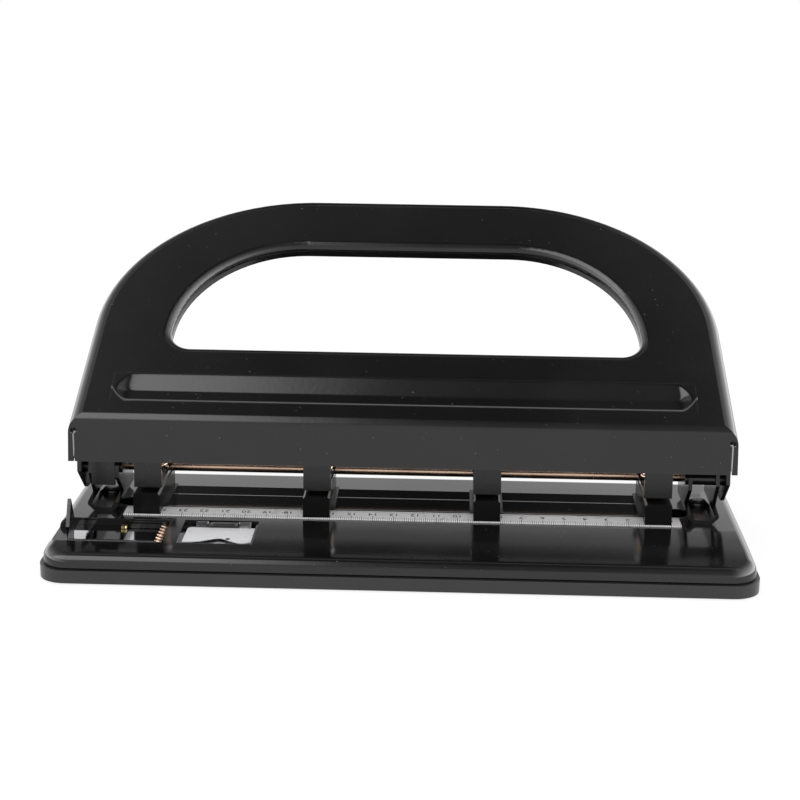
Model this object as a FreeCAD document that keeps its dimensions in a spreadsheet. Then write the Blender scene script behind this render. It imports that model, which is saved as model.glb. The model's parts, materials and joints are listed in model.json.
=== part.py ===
import FreeCAD, Part
import math
import os
import re

import Sketcher
from FreeCAD import Placement, Rotation, Vector

# Four-hole lever punch with a D-shaped pressed-steel handle.
# Millimetres. +X runs along the ruler, -Y faces the person feeding paper, +Z is up.
# The origin is under the middle of the whole object, on the surface it stands on.

doc = FreeCAD.newDocument("lever_punch")
sheet = doc.addObject("Spreadsheet::Sheet", "sizes")
places = doc.addObject("Spreadsheet::Sheet", "places")

SIZES = [
    # chip tray, the moulded bottom
    ("tray_length", 322.8), ("tray_depth", 125.5), ("tray_wall_height", 6.0), ("tray_floor", 1.6),
    ("tray_corner", 13.0), ("tray_rim", 5.1), ("tray_lip_height", 2.6), ("tray_lip_gap", 0.4),
    ("foot_radius", 7.0), ("foot_proud", 0.8), ("foot_sunk", 0.7), ("foot_inset", 17.0),
    # pressed-steel base shell
    ("shell_inset", 1.5), ("shell_seam", 0.7), ("shell_height", 7.8), ("shell_sheet", 1.8),
    ("shell_corner", 12.5), ("shell_edge", 4.4), ("apron_drop", 1.7), ("apron_crease", 4.0),
    ("trough_front", 12.5), ("trough_first", 24.6), ("trough_second", 37.5), ("trough_back", 47.0),
    ("trough_flat", 1.0), ("trough_deep", 5.2), ("trough_clear", 1.6),
    ("relief_radius", 6.5), ("relief_back", 15.4), ("relief_aside", 3.6),
    # ruler
    ("front_reach", 53.5), ("ruler_length", 262.0), ("ruler_width", 11.2), ("ruler_thick", 0.8),
    # punch towers
    ("tower_pitch", 80.0), ("block_width", 12.5), ("block_height", 10.9), ("block_depth", 47.0),
    ("block_bevel", 0.9), ("slot_gap", 1.3), ("throat_depth", 41.0),
    ("foot_flange", 1.6), ("foot_flange_thick", 1.2), ("flange_gap", 0.2), ("ruler_notch_gap", 0.1),
    ("guide_width", 13.0), ("guide_front", 5.5), ("guide_sheet", 1.8), ("guide_floor", 2.0),
    ("guide_front_height", 16.0), ("guide_rear_height", 11.0), ("guide_hold", 3.5),
    # pins, springs
    ("pin_back", 28.0), ("pin_radius", 3.0), ("pin_fit", 0.05), ("pin_lift", 0.5), ("pin_edge", 0.4),
    ("die_clear", 0.4), ("die_land", 2.6), ("chip_bore", 4.2),
    ("cap_radius", 6.5), ("cap_thick", 3.6), ("cap_gap", 0.3), ("cap_dome", 0.6),
    ("spring_radius", 5.5), ("spring_wire", 0.6), ("spring_turns", 5.5), ("spring_seat", 0.3),
    # back stop rod
    ("rod_radius", 2.5), ("rod_back", 42.5), ("rod_over_slot", 0.15),
    # end brackets
    ("bracket_inner", 134.2), ("bracket_sheet", 1.8), ("ear_play", 1.6),
    ("bracket_front", 5.5), ("bracket_depth", 46.0), ("bracket_bend", 3.0), ("bend_inside", 1.9),
    ("wall_front", 4.2), ("wall_rear", 8.5), ("nose_ahead", 6.0), ("nose_low", 4.0), ("nose_high", 2.0),
    ("cover_front", 7.5), ("cover_top", 41.0), ("cover_sheet", 1.6),
    ("rivet_radius", 4.8), ("rivet_head", 3.0), ("rivet_dome", 2.2), ("rivet_shank", 2.2),
    ("rivet_back", 29.0), ("rivet_fit", 0.1), ("rivet_tail", 0.8), ("nose_slope", 10.2),
    ("outer_nose_slope", 3.6), ("outer_nose_back", 0.5),
    # handle
    ("lean", 34.0), ("plate_sheet", 1.8), ("skirt_ahead", 15.0), ("bend_height", 67.0),
    ("skirt_bottom", 45.9),
    ("plate_length", 149.55), ("shoulder_centre", 46.6), ("shoulder_radius", 102.65),
    ("shoulder_rise", 58.6), ("flare", 2.96),
    ("bend_radius", 6.0), ("rim_depth", 9.0), ("lip_depth", 7.0),
    ("grip_bottom", 45.7), ("grip_top", 114.2), ("grip_centre", 49.5), ("grip_radius", 61.8),
    ("grip_rise", 53.5),
    ("grip_corner", 10.0), ("grip_edge", 4.0),
    ("groove_bottom", 10.9), ("groove_top", 27.8), ("groove_half", 135.5), ("groove_depth", 2.9),
    ("groove_end", 7.0), ("groove_ledge", 1.6), ("groove_taper", 1.2),
    ("cap_below", 90.0), ("cap_deep", 120.0), ("relief_hole", 1.5), ("slit_width", 0.6), ("slit_top", 60.5),
    ("lug_ahead", 12.5), ("lug_bend", 1.0), ("lug_tip", 24.0), ("lug_tip_front", 1.5), ("lug_tip_back", 7.0),
    ("lug_behind", 11.0), ("ear_neck", 15.0), ("ear_neck_rise", 4.0), ("ear_run", 50.0),
    # pivot and press bar
    ("pivot_back", 14.0), ("pivot_height", 35.0), ("pivot_radius", 3.0), ("pivot_fit", 0.05),
    ("pivot_head", 4.6), ("pivot_head_thick", 0.7), ("pivot_inset", 1.2),
    ("bar_back", 22.5), ("bar_height", 55.0), ("bar_radius", 6.0), ("tenon_radius", 3.0),
    ("bar_play", 0.3), ("tenon_proud", 0.8),
    # paper gauge
    ("gauge_front", -34.2), ("gauge_rear", -6.0), ("gauge_right", -67.3), ("gauge_left", -151.6),
    ("gauge_sink", 3.2), ("gauge_thick", 1.0), ("gauge_play", 0.2), ("channel_sheet", 1.0),
    ("bridge_left", -107.5), ("bridge_width", 6.7), ("bridge_fit", 0.01), ("tab_sheet", 1.0),
    ("stop_thick", 1.6), ("stop_middle", -25.0), ("stop_height", 19.0), ("stop_half", 6.0),
    ("stop_widest", 7.4), ("stop_foot", 3.4), ("stop_shoulder", 16.4), ("stop_point", 1.5),
    ("guide_pin_x", -128.8), ("guide_pin_y", -10.0), ("guide_pin_radius", 1.0),
    ("guide_pin_head", 1.5), ("guide_pin_proud", 1.3), ("slot_play", 0.25), ("slot_end", 0.6),
    ("gauge_travel", 56.0),
    ("zigzag_wire", 0.5), ("zigzag_gap", 0.3), ("zigzag_reach", 3.0), ("zigzag_turns", 7.0),
    ("format_length", 31.0), ("format_width", 24.5), ("format_thick", 0.6), ("format_side", 1.0),
    ("tab_length", 8.0), ("tab_width", 5.6), ("tab_left", 25.9), ("tab_right", 7.5),
    # tray hinge
    ("knuckle_radius", 2.6), ("knuckle_behind", 3.0), ("knuckle_length", 12.0), ("knuckle_gap", 0.3),
    ("hinge_pin_radius", 1.2), ("hinge_fit", 0.05), ("hinge_spread", 110.0), ("hinge_height", 0.4),
    # screws under the towers
    ("screw_radius", 1.8), ("screw_head", 3.4), ("screw_head_thick", 1.8), ("screw_length", 6.0),
    ("screw_front", 15.5), ("screw_rear", 40.0), ("screw_overlap", 0.5),
    # how far joined forms bite into each other, and how far a cutter runs on
    ("bite", 1.0), ("far", 20.0), ("wide", 400.0),
]

for row, (alias, value) in enumerate(SIZES, start=1):
    sheet.set("A%d" % row, alias)
    sheet.set("B%d" % row, str(value))
    sheet.setAlias("B%d" % row, alias)

known = {alias: "sizes." + alias for alias, value in SIZES}


def ref(text):
    """Put the sheet's name before each alias in an expression."""
    return re.sub(r"[a-z_]+[a-z]", lambda m: known.get(m.group(0), m.group(0)), text)


# Places worked out from the sizes. All y places ending in _y are in the part's frame.
PLACES = [
    ("tray_bottom", "foot_proud"),
    ("tray_top", "tray_bottom + tray_wall_height"),
    ("shell_bottom", "tray_top + shell_seam"),
    ("base_top", "shell_bottom + shell_height"),
    ("ruler_top", "base_top + ruler_thick"),
    ("rear_reach", "plate_length * cos(lean * 1deg) + rim_depth * sin(lean * 1deg) - skirt_ahead"),
    ("ruler_y", "(front_reach - rear_reach) / 2"),
    ("front_y", "ruler_y - front_reach"),
    ("rear_y", "front_y + tray_depth"),
    ("slot_bottom", "base_top + block_height"),
    ("slot_top", "slot_bottom + slot_gap"),
    ("guide_top", "slot_top + guide_floor"),
    ("pin_y", "ruler_y + pin_back"),
    ("cap_top", "bar_height - bar_radius - cap_gap"),
    ("cap_bottom", "cap_top - cap_thick"),
    ("rod_y", "ruler_y + rod_back"),
    ("rod_z", "slot_bottom + slot_gap / 2 + rod_over_slot"),
    ("pivot_y", "ruler_y + pivot_back"),
    ("ear_reach", "shoulder_centre + shoulder_radius + shoulder_rise * tan(flare * 1deg)"),
    ("skirt_half", "ear_reach - plate_sheet - slit_width"),
    ("bracket_outer", "ear_reach - plate_sheet - ear_play"),
    ("bracket_middle", "(bracket_inner + bracket_outer) / 2"),
    ("bar_y", "ruler_y + bar_back"),
    ("bend_y", "ruler_y - skirt_ahead"),
    ("apron_top", "base_top - apron_drop"),
    ("apron_run", "ruler_y - apron_crease - front_y - shell_inset"),
    ("apron_round", "(apron_run^2 + apron_drop^2) / (2 * apron_drop)"),
    ("hollow_edge", "shell_edge - shell_sheet"),
    ("trough_slope", "trough_deep / (trough_back - trough_front - 2*trough_flat)"),
    ("trough_low", "base_top - trough_deep"),
    ("trough_middle", "trough_low + trough_slope * (trough_first - trough_front)"),
    ("trough_high", "trough_middle + trough_slope * (trough_second - trough_first - trough_flat)"),
    ("gauge_top", "base_top - gauge_sink"),
    ("gauge_bottom", "gauge_top - gauge_thick"),
    ("channel_top", "gauge_bottom - gauge_play"),
    ("hinge_y", "rear_y + knuckle_behind"),
    ("hinge_z", "tray_top + hinge_height"),
    ("ceiling", "gauge_top + gauge_play"),
]

for row, (alias, text) in enumerate(PLACES, start=1):
    places.set("A%d" % row, alias)
    places.set("B%d" % row, "=" + ref(text))
    places.setAlias("B%d" % row, alias)
    known[alias] = "places." + alias
    doc.recompute()


def size(alias):
    """The number in the sheet behind one alias."""
    owner, cell = known[alias].split(".")
    value = (sheet if owner == "sizes" else places).get(cell)
    return float(getattr(value, "Value", value))


nodes = []
spare = [0]
AXES = {"z": Rotation(), "x": Rotation(Vector(0, 1, 0), 90), "y": Rotation(Vector(1, 0, 0), -90)}


def scratch(kind):
    spare[0] += 1
    return "%s_%03d" % (kind, spare[0])


def place(item, at):
    for axis, text in zip("xyz", at):
        item.setExpression("Placement.Base." + axis, ref(text))


def box(at, extent):
    """A block with its low corner at a point."""
    item = doc.addObject("Part::Box", scratch("block"))
    for name, text in zip(("Length", "Width", "Height"), extent):
        item.setExpression(name, ref(text))
    place(item, at)
    return item


def rod(at, radius, length, axis="z"):
    """A round bar that starts at a point and runs along one axis."""
    item = doc.addObject("Part::Cylinder", scratch("round"))
    item.setExpression("Radius", ref(radius))
    item.setExpression("Height", ref(length))
    item.Placement = Placement(Vector(), AXES[axis])
    place(item, at)
    return item


def fuse(*items):
    item = doc.addObject("Part::MultiFuse", scratch("joined"))
    item.Shapes = list(items)
    return item


def cut(base, *tools):
    for tool in tools:
        item = doc.addObject("Part::Cut", scratch("cut"))
        item.Base = base
        item.Tool = tool
        base = item
    return base


def rounded(item, radius, chosen):
    """Round the edges of an item that a test picks, to one radius from the sheet."""
    doc.recompute()
    result = doc.addObject("Part::Fillet", scratch("rounded"))
    result.Base = item
    amount = size(radius)
    result.Edges = [(number, amount, amount) for number, edge in enumerate(item.Shape.Edges, start=1)
                    if chosen(edge)]
    return result


def upright(edge):
    """An edge that runs straight up and down."""
    spread = edge.BoundBox
    return spread.XLength < 0.01 and spread.YLength < 0.01


def topEdges(item):
    """A test for the edges that lie in an item's top plane."""
    doc.recompute()
    level = item.Shape.BoundBox.ZMax
    return lambda edge: edge.BoundBox.ZMin > level - 0.01


def feature(shape, name="shape"):
    item = doc.addObject("Part::Feature", scratch(name))
    item.Shape = shape
    return item


def node(label, item):
    item.Label = label
    nodes.append(item)
    return item


ORIGIN_PLANES = {"side": "YZ_Plane", "plan": "XY_Plane", "front": "XZ_Plane"}


def plate(view, corners, thickness, at):
    """A flat plate padded from a closed sketch whose corners are bound to the sheet."""
    body = doc.addObject("PartDesign::Body", scratch("plate"))
    sketch = body.newObject("Sketcher::SketchObject", scratch("outline"))
    plane = [f for f in body.Origin.OriginFeatures if f.Role == ORIGIN_PLANES[view]][0]
    sketch.AttachmentSupport = [(plane, "")]
    sketch.MapMode = "FlatFace"
    guess = doc.addObject("Spreadsheet::Sheet", scratch("corners"))
    for row, (across, up) in enumerate(corners, start=1):
        guess.set("A%d" % row, "=" + ref(across))
        guess.set("B%d" % row, "=" + ref(up))
    doc.recompute()
    points = []
    for row in range(1, len(corners) + 1):
        pair = [guess.get("%s%d" % (column, row)) for column in "AB"]
        points.append(Vector(*[float(getattr(value, "Value", value)) for value in pair], 0))
    count = len(points)
    for i in range(count):
        sketch.addGeometry(Part.LineSegment(points[i], points[(i + 1) % count]), False)
    for i in range(count):
        sketch.addConstraint(Sketcher.Constraint("Coincident", i, 2, (i + 1) % count, 1))
    for i, (across, up) in enumerate(corners):
        for kind, text, number in (("DistanceX", across, points[i].x), ("DistanceY", up, points[i].y)):
            index = sketch.addConstraint(Sketcher.Constraint(kind, -1, 1, i, 1, number))
            sketch.setExpression("Constraints[%d]" % index, ref(text))
    doc.removeObject(guess.Name)
    pad = body.newObject("PartDesign::Pad", scratch("pad"))
    pad.Profile = sketch
    pad.setExpression("Length", ref(thickness))
    sketch.Visibility = False
    place(body, at)
    return body


# ---- chip tray -------------------------------------------------------------------------------

def trayBlock(inset, bottom, height, corner):
    """A block with rounded corners, set in from the tray's outline."""
    block = box(("-tray_length/2 + " + inset, "front_y + " + inset, bottom),
                ("tray_length - 2*(%s)" % inset, "tray_depth - 2*(%s)" % inset, height))
    doc.recompute()
    result = doc.addObject("Part::Fillet", scratch("rounded"))
    result.Base = block
    result.Edges = [(number, corner, corner) for number, edge in enumerate(block.Shape.Edges, start=1)
                    if upright(edge)]
    return result


def barrel(x, length, radius):
    return rod((x, "hinge_y", "hinge_z"), radius, length, "x")


LIP_INSET = "(shell_inset + shell_sheet + tray_lip_gap)"
tray_outer = trayBlock("0", "tray_bottom", "tray_wall_height", size("tray_corner"))
tray_lip = trayBlock(LIP_INSET, "tray_top - bite", "tray_lip_height + bite",
                     size("shell_corner") - size("shell_sheet") - size("tray_lip_gap"))
tray_hollow = trayBlock("tray_rim", "tray_bottom + tray_floor", "far",
                        size("tray_corner") - size("tray_rim"))
tray_knuckles = []
for side in (-1, 1):
    middle = "%d*hinge_spread" % side
    tray_knuckles.append(barrel(middle + " - knuckle_length/2", "knuckle_length", "knuckle_radius"))
    tray_knuckles.append(box((middle + " - knuckle_length/2", "rear_y - bite", "tray_top - 2*knuckle_radius"),
                             ("knuckle_length", "knuckle_behind + bite", "2*knuckle_radius")))
foot_spots = [(sx, sy) for sx in (-1, 1) for sy in (-1, 1)]


def foot(sx, sy):
    y = "front_y + foot_inset" if sy < 0 else "rear_y - foot_inset"
    return rod(("%d*(tray_length/2 - foot_inset)" % sx, y, "0"), "foot_radius", "foot_proud + foot_sunk")


tray = cut(fuse(tray_outer, tray_lip), tray_hollow)
tray = fuse(tray, *tray_knuckles)
tray = cut(tray, *[foot(sx, sy) for sx, sy in foot_spots])
for side in (-1, 1):
    tray = cut(tray, barrel("%d*hinge_spread - knuckle_length/2 - bite" % side,
                            "knuckle_length + 2*bite", "hinge_pin_radius + hinge_fit"))
node("chip_tray", tray)
node("tray_feet", fuse(*[foot(sx, sy) for sx, sy in foot_spots]))

# ---- base shell ------------------------------------------------------------------------------

shell_block = trayBlock("shell_inset", "shell_bottom", "shell_height", size("shell_corner"))
# The apron falls away from the ruler on a large arc, and what lies over that arc is cut off.
over_apron = cut(box(("-tray_length/2", "front_y", "apron_top - apron_drop"),
                     ("tray_length", "ruler_y - apron_crease - front_y", "3*apron_drop")),
                 rod(("-tray_length/2", "ruler_y - apron_crease", "base_top - apron_round"), "apron_round",
                     "tray_length", "x"))
shell = cut(shell_block, over_apron)
doc.recompute()


def shellTop(edge):
    """The outer edges of the shell's top, which the press rounds over."""
    spread = edge.BoundBox
    near_rim = spread.YMin < size("front_y") + size("shell_inset") + 0.01
    side_x = size("tray_length") / 2 - size("shell_inset")
    side = abs(abs(spread.XMin) - side_x) < 0.01 and spread.XLength < 0.01
    back = (spread.YMax > size("rear_y") - size("shell_inset") - 0.01
            and spread.ZMin > size("base_top") - 0.01)
    high = spread.ZMin > size("apron_top") - 0.01
    return high and not upright(edge) and (near_rim or side or back)


shell = rounded(shell, "shell_edge", shellTop)
shell_form = shell
shell_hollow = trayBlock("(shell_inset + shell_sheet)", "shell_bottom - bite",
                         "ceiling - shell_bottom + bite", size("shell_corner") - size("shell_sheet"))
shell_hollow = rounded(shell_hollow, "hollow_edge", topEdges(shell_hollow))
shell = cut(shell, shell_hollow)
TOWER_STEPS = (-1.5, -0.5, 0.5, 1.5)


def trough(left, drop, grow, top):
    """The stepped ramp between two towers, moved down and widened for the pan under it."""
    profile = [("trough_front - (%s)" % grow, top),
               ("trough_front - (%s)" % grow, "trough_low - (%s)" % drop),
               ("trough_first", "trough_middle - (%s)" % drop),
               ("trough_first + trough_flat", "trough_middle - (%s)" % drop),
               ("trough_second", "trough_high - (%s)" % drop),
               ("trough_second + trough_flat", "trough_high - (%s)" % drop),
               ("trough_back", "base_top - (%s)" % drop), ("trough_back", top)]
    start = "%g*tower_pitch + block_width/2 + trough_clear - (%s)" % (left, grow)
    return plate("side", [("ruler_y + " + y, z) for y, z in profile],
                 "tower_pitch - block_width - 2*trough_clear + 2*(%s)" % grow, (start, "0", "0"))


shell = fuse(shell, *[trough(left, "shell_sheet", "shell_sheet", "base_top - shell_sheet/2")
                      for left in TOWER_STEPS[:-1]])
shell = cut(shell, *[trough(left, "0", "0", "base_top + trough_deep") for left in TOWER_STEPS[:-1]])
for side in (-1, 1):
    shell = cut(shell, rod(("%d*(1.5*tower_pitch + block_width/2 + relief_aside)" % side,
                            "ruler_y + relief_back + ruler_width/2", "base_top - far/2"),
                           "relief_radius", "far"))
for step in TOWER_STEPS:
    shell = cut(shell, rod(("%g*tower_pitch" % step, "pin_y", "base_top - far/2"), "chip_bore", "far"))
    for back in ("screw_front", "screw_rear"):
        shell = cut(shell, rod(("%g*tower_pitch" % step, "ruler_y + " + back, "base_top - far/2"),
                               "screw_radius", "far"))
for side in (-1, 1):
    shell = cut(shell, rod(("%d*bracket_middle" % side, "ruler_y + rivet_back", "base_top - far/2"),
                           "rivet_shank", "far"))
CHANNEL_Y = ("ruler_y + gauge_front - channel_sheet", "gauge_rear - gauge_front + 2*channel_sheet")
for start, end in (("-tray_length/2 - bite", "bridge_left"),
                   ("bridge_left + bridge_width", "gauge_right + channel_sheet")):
    shell = cut(shell, box((start, CHANNEL_Y[0], "channel_top - channel_sheet"),
                           ("%s - (%s)" % (end, start), CHANNEL_Y[1], "far")))
shell_knuckles = []
for side in (-1, 1):
    for end in (-1, 1):
        step = 0.5 if end > 0 else -1.5
        start = "%d*hinge_spread + %g*knuckle_length + %d*knuckle_gap" % (side, step, end)
        shell_knuckles.append(barrel(start, "knuckle_length", "knuckle_radius"))
        shell_knuckles.append(box((start, "rear_y - shell_inset - bite", "hinge_z"),
                                  ("knuckle_length", "shell_inset + knuckle_behind + bite",
                                   "knuckle_radius")))
shell = fuse(shell, *shell_knuckles)
for side in (-1, 1):
    span = "3*knuckle_length + 2*knuckle_gap"
    shell = cut(shell, barrel("%d*hinge_spread - 1.5*knuckle_length - knuckle_gap" % side, span,
                              "hinge_pin_radius"))
node("base_shell", shell)
node("tray_hinge_pins",
     fuse(*[barrel("%d*hinge_spread - 1.5*knuckle_length - knuckle_gap" % side,
                   "3*knuckle_length + 2*knuckle_gap", "hinge_pin_radius") for side in (-1, 1)]))

# ---- ruler -----------------------------------------------------------------------------------

node("ruler_strip", box(("-ruler_length/2", "ruler_y", "base_top"),
                        ("ruler_length", "ruler_width", "ruler_thick")))


# ---- punch towers ----------------------------------------------------------------------------

def backRod(start, length):
    return rod((start, "rod_y", "rod_z"), "rod_radius", length, "x")


def coilSpring(foot):
    """A round wire wound between a guide's floor and its pin's cap."""
    wire, radius, turns = size("spring_wire"), size("spring_radius"), size("spring_turns")
    low = foot.z + size("spring_seat") + wire
    rise = size("cap_bottom") - size("spring_seat") - wire - low
    steps = int(12 * turns)
    angles = [2 * math.pi * turns * i / steps for i in range(steps + 1)]
    points = [Vector(foot.x + radius * math.cos(a), foot.y + radius * math.sin(a), low + rise * i / steps)
              for i, a in enumerate(angles)]
    path = Part.BSplineCurve()
    path.interpolate(points)
    ring = Part.Wire(Part.makeCircle(wire, points[0], path.tangent(path.FirstParameter)[0]))
    return Part.Wire(path.toShape()).makePipeShell([ring], True, True)


for number, step in enumerate(TOWER_STEPS, start=1):
    centre = "%g*tower_pitch" % step
    half = "block_width/2"
    block = plate("front",
                  [("-" + half, "0"), (half, "0"), (half, "block_height - block_bevel"),
                   (half + " - block_bevel", "block_height"), ("block_bevel - " + half, "block_height"),
                   ("-" + half, "block_height - block_bevel")],
                  "block_depth", (centre, "ruler_y + block_depth", "base_top"))
    step_up = box((centre + " - block_width/2 + block_bevel", "ruler_y + throat_depth",
                   "base_top + block_height - bite"),
                  ("block_width - 2*block_bevel", "block_depth - throat_depth", "slot_gap + bite"))
    flange = box((centre + " - block_width/2 - foot_flange", "ruler_y + ruler_width + flange_gap",
                  "base_top"),
                 ("block_width + 2*foot_flange", "block_depth - ruler_width - flange_gap",
                  "foot_flange_thick"))
    block = fuse(block, step_up, flange)
    notch = box((centre + " - far", "ruler_y - bite", "base_top - bite"),
                ("2*far", "ruler_width + ruler_notch_gap + bite", "ruler_thick + bite"))
    block = cut(block, notch,
                rod((centre, "pin_y", "base_top - bite"), "chip_bore", "block_height + bite - die_land"),
                rod((centre, "pin_y", "base_top - bite"), "pin_radius + die_clear/2", "block_height + far"),
                backRod(centre + " - far", "2*far"))
    for back in ("screw_front", "screw_rear"):
        block = cut(block, rod((centre, "ruler_y + " + back, "base_top - bite"), "screw_radius",
                               "screw_length + bite - shell_sheet"))
    node("die_block_%d" % number, block)

    guide = fuse(box((centre + " - guide_width/2", "ruler_y + guide_front", "slot_top"),
                     ("guide_width", "block_depth - guide_front", "guide_floor")),
                 box((centre + " - guide_width/2", "ruler_y + guide_front", "slot_top"),
                     ("guide_width", "guide_sheet", "guide_front_height")),
                 box((centre + " - guide_width/2", "ruler_y + block_depth - guide_sheet", "slot_top"),
                     ("guide_width", "guide_sheet", "guide_rear_height")),
                 box((centre + " - guide_width/2", "ruler_y + throat_depth - guide_hold", "slot_top"),
                     ("guide_width", "block_depth - throat_depth + guide_hold",
                      "rod_z + rod_radius + guide_sheet - slot_top")))
    guide = cut(guide, rod((centre, "pin_y", "slot_top - bite"), "pin_radius + pin_fit",
                           "guide_floor + 2*bite"),
                backRod(centre + " - far", "2*far"))
    node("punch_guide_%d" % number, guide)

    shank = rod((centre, "pin_y", "slot_top + pin_lift"), "pin_radius",
                "cap_bottom - slot_top - pin_lift + bite")
    cap = rod((centre, "pin_y", "cap_bottom"), "cap_radius", "cap_thick")
    cap = rounded(cap, "cap_dome", topEdges(cap))
    hollow = doc.addObject("Part::Cone", scratch("tip"))
    hollow.setExpression("Radius1", ref("pin_radius - pin_edge"))
    hollow.Radius2 = 0
    hollow.setExpression("Height", ref("pin_radius / 2"))
    place(hollow, (centre, "pin_y", "slot_top + pin_lift"))
    node("punch_pin_%d" % number, cut(fuse(shank, cap), hollow))

    spring = feature(coilSpring(Vector(step * size("tower_pitch"), size("pin_y"), size("guide_top"))), "coil")
    node("return_spring_%d" % number, spring)

node("back_stop_rod", backRod("-bracket_outer + bracket_sheet", "2*(bracket_outer - bracket_sheet)"))

screws = []
for step in TOWER_STEPS:
    for back in ("screw_front", "screw_rear"):
        spot = ("%g*tower_pitch" % step, "ruler_y + " + back)
        screws.append(fuse(rod(spot + ("ceiling - screw_head_thick",), "screw_head", "screw_head_thick"),
                           rod(spot + ("ceiling - screw_overlap",), "screw_radius",
                               "base_top - ceiling + screw_overlap + screw_length - shell_sheet")))
node("tower_screws", fuse(*screws))


# ---- end brackets ----------------------------------------------------------------------------

def cheek(at_x, corners):
    return plate("side", [("ruler_y + " + y, z) for y, z in corners], "bracket_sheet", (at_x, "0", "0"))


def wallTop(y):
    """The height of a bracket's low side wall, which climbs toward the rear."""
    return ("base_top + wall_front + (wall_rear - wall_front)*(%s - bracket_front)"
            "/(bracket_depth - bracket_front)" % y)


INNER_CHEEK = [("bracket_front", "base_top + bracket_bend"), ("bracket_front", wallTop("bracket_front")),
               ("pivot_back + nose_ahead", wallTop("(pivot_back + nose_ahead)")),
               ("pivot_back - nose_ahead", "pivot_height - nose_low"),
               ("pivot_back - nose_ahead", "pivot_height + nose_high"),
               ("pivot_back", "pivot_height + nose_ahead"),
               ("pivot_back + nose_ahead", "pivot_height + nose_ahead"),
               ("pivot_back + nose_ahead + nose_slope", "rod_z + rod_radius + bracket_sheet"),
               ("bracket_depth", "rod_z + rod_radius + bracket_sheet"),
               ("bracket_depth", "base_top + bracket_bend")]
OUTER_CHEEK = [("bracket_front", "base_top + bracket_bend"), ("bracket_front", wallTop("bracket_front")),
               ("pivot_back + nose_low", wallTop("(pivot_back + nose_low)")),
               ("pivot_back - nose_ahead + outer_nose_back", "pivot_height - nose_high"),
               ("pivot_back - nose_low", "pivot_height + nose_low"),
               ("pivot_back + nose_low", "pivot_height + nose_low"),
               ("pivot_back + nose_ahead + outer_nose_slope", "rod_z + rod_radius + bracket_sheet"),
               ("bracket_depth", "rod_z + rod_radius + bracket_sheet"),
               ("bracket_depth", "base_top + bracket_bend")]
for name, side in (("left", -1), ("right", 1)):
    inner = "bracket_inner" if side > 0 else "-bracket_inner - bracket_sheet"
    outer = "bracket_outer - bracket_sheet" if side > 0 else "-bracket_outer"
    low = "bracket_inner" if side > 0 else "-bracket_outer"
    high = "bracket_outer" if side > 0 else "-bracket_inner"
    bend_top = "base_top + bracket_bend + bite/2"
    sole = plate("front",
                 [(low, bend_top), (low, "base_top + bracket_bend"), (low + " + bracket_bend", "base_top"),
                  (high + " - bracket_bend", "base_top"), (high, "base_top + bracket_bend"), (high, bend_top),
                  (high + " - bracket_sheet", bend_top),
                  (high + " - bracket_sheet", "base_top + bracket_sheet + bend_inside"),
                  (high + " - bracket_sheet - bend_inside", "base_top + bracket_sheet"),
                  (low + " + bracket_sheet + bend_inside", "base_top + bracket_sheet"),
                  (low + " + bracket_sheet", "base_top + bracket_sheet + bend_inside"),
                  (low + " + bracket_sheet", bend_top)],
                 "bracket_depth - bracket_front", ("0", "ruler_y + bracket_depth", "0"))
    bracket = fuse(sole, cheek(inner, INNER_CHEEK), cheek(outer, OUTER_CHEEK))
    pivot_bore = rod(("%s - pivot_inset" % low, "pivot_y", "pivot_height"), "pivot_radius + pivot_fit",
                     "bracket_outer - bracket_inner + 2*pivot_inset", "x")
    rivet_spot = ("%d*bracket_middle" % side, "ruler_y + rivet_back")
    rivet_bore = rod(rivet_spot + ("base_top - bite",), "rivet_shank", "bracket_sheet + 2*bite")
    rivet_room = rod(rivet_spot + ("base_top + bracket_sheet",), "rivet_radius + rivet_fit", "rivet_head")
    stop_bore = backRod("bracket_inner - bite" if side > 0 else "-bracket_outer + bracket_sheet",
                        "bracket_outer - bracket_inner - bracket_sheet + bite")
    node(name + "_end_bracket", cut(bracket, pivot_bore, rivet_bore, rivet_room, stop_bore))

node("left_bracket_cover",
     box(("-bracket_outer + bracket_sheet", "ruler_y + cover_front", "slot_top"),
         ("bracket_outer - bracket_inner - 2*bracket_sheet", "cover_sheet", "cover_top - slot_top")))
rivets = []
for side in (-1, 1):
    spot = ("%d*bracket_middle" % side, "ruler_y + rivet_back")
    head = rod(spot + ("base_top + bracket_sheet",), "rivet_radius", "rivet_head")
    head = rounded(head, "rivet_dome", topEdges(head))
    rivets.append(fuse(head, rod(spot + ("ceiling - rivet_tail",), "rivet_shank",
                                 "base_top + bracket_sheet - ceiling + rivet_tail + bite/2")))
node("bracket_rivets", fuse(*rivets))

# ---- paper gauge -----------------------------------------------------------------------------

channel_block = box(("-tray_length/2 + shell_inset", CHANNEL_Y[0], "channel_top - channel_sheet"),
                    ("tray_length/2 - shell_inset + gauge_right + channel_sheet", CHANNEL_Y[1],
                     "base_top - channel_top + channel_sheet - shell_sheet/2"))
clipped = doc.addObject("Part::Common", scratch("clipped"))
clipped.Base, clipped.Tool = channel_block, shell_form
channel_room = box(("-tray_length/2 - bite", "ruler_y + gauge_front", "channel_top"),
                   ("tray_length/2 + bite + gauge_right", "gauge_rear - gauge_front", "far"))
bridge_room = box(("bridge_left - bridge_fit", CHANNEL_Y[0] + " - bite", "ceiling"),
                  ("bridge_width + 2*bridge_fit", CHANNEL_Y[1] + " + 2*bite", "far"))
rivet_hole = rod(("guide_pin_x", "ruler_y + guide_pin_y", "channel_top - channel_sheet - bite"),
                 "guide_pin_radius", "channel_sheet + 2*bite")
node("gauge_channel", cut(clipped, channel_room, bridge_room, rivet_hole))

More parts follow.
